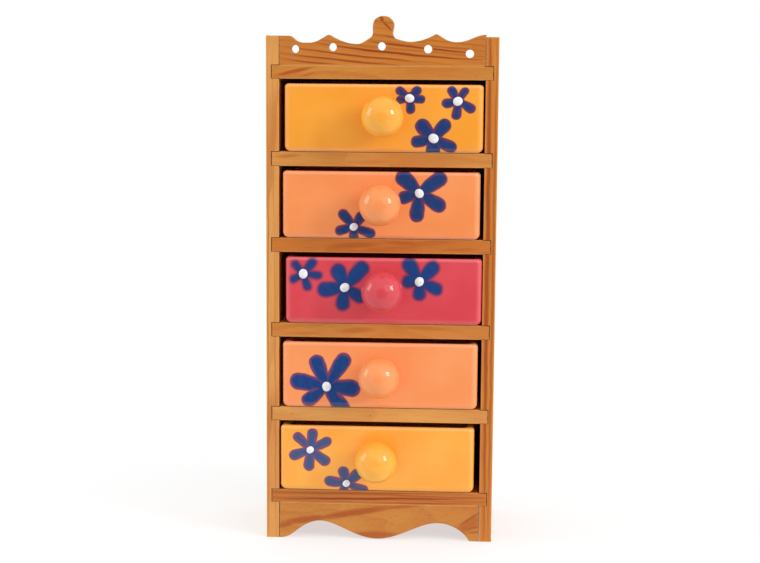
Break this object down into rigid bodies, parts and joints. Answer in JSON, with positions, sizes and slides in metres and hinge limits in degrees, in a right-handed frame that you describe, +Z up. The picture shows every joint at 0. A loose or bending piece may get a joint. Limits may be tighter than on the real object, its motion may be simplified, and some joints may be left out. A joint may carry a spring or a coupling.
{
  "type": "drawer unit",
  "caption": "Small pine drawer unit with glazed ceramic drawers and ball knobs, scalloped crest and apron; holds spices, tea or craft parts on a counter or wall.",
  "frame": {"origin": "on the ground, under the middle of the box that holds the closed unit with its knobs", "axes": "+Z up, drawers open towards -Y, +X to the right as seen from the front"},
  "size_m": [0.14, 0.1044, 0.3226],
  "materials": {
    "pine_sides": "honey-stained, satin lacquer",
    "pine_shelves": "honey-stained, satin lacquer",
    "pine_trim": "honey-stained, satin lacquer",
    "back_sheet": "thin sheet, plain",
    "golden_glaze": "clear gloss glaze with painted flowers",
    "peach_glaze": "clear gloss glaze with painted flowers",
    "coral_glaze": "clear gloss glaze with painted flowers"
  },
  "bodies": {
    "cabinet": {"left_side": "pine_sides", "right_side": "pine_sides", "top_shelf": "pine_shelves", "divider_1": "pine_shelves", "divider_2": "pine_shelves", "divider_3": "pine_shelves", "divider_4": "pine_shelves", "bottom_shelf": "pine_shelves", "back_panel": "back_sheet", "crest_board": "pine_trim", "apron_board": "pine_trim"},
    "drawer_1": {"drawer_1": "golden_glaze", "knob_1": "golden_glaze"},
    "drawer_2": {"drawer_2": "peach_glaze", "knob_2": "peach_glaze"},
    "drawer_3": {"drawer_3": "coral_glaze", "knob_3": "coral_glaze"},
    "drawer_4": {"drawer_4": "peach_glaze", "knob_4": "peach_glaze"},
    "drawer_5": {"drawer_5": "golden_glaze", "knob_5": "golden_glaze"}
  },
  "joints": [
    {"name": "drawer_1_slide", "type": "slide", "parent": "cabinet", "child": "drawer_1", "axis": [0, -1, 0], "range_m": [0, 0.072]},
    {"name": "drawer_2_slide", "type": "slide", "parent": "cabinet", "child": "drawer_2", "axis": [0, -1, 0], "range_m": [0, 0.072]},
    {"name": "drawer_3_slide", "type": "slide", "parent": "cabinet", "child": "drawer_3", "axis": [0, -1, 0], "range_m": [0, 0.072]},
    {"name": "drawer_4_slide", "type": "slide", "parent": "cabinet", "child": "drawer_4", "axis": [0, -1, 0], "range_m": [0, 0.072]},
    {"name": "drawer_5_slide", "type": "slide", "parent": "cabinet", "child": "drawer_5", "axis": [0, -1, 0], "range_m": [0, 0.072]}
  ]
}
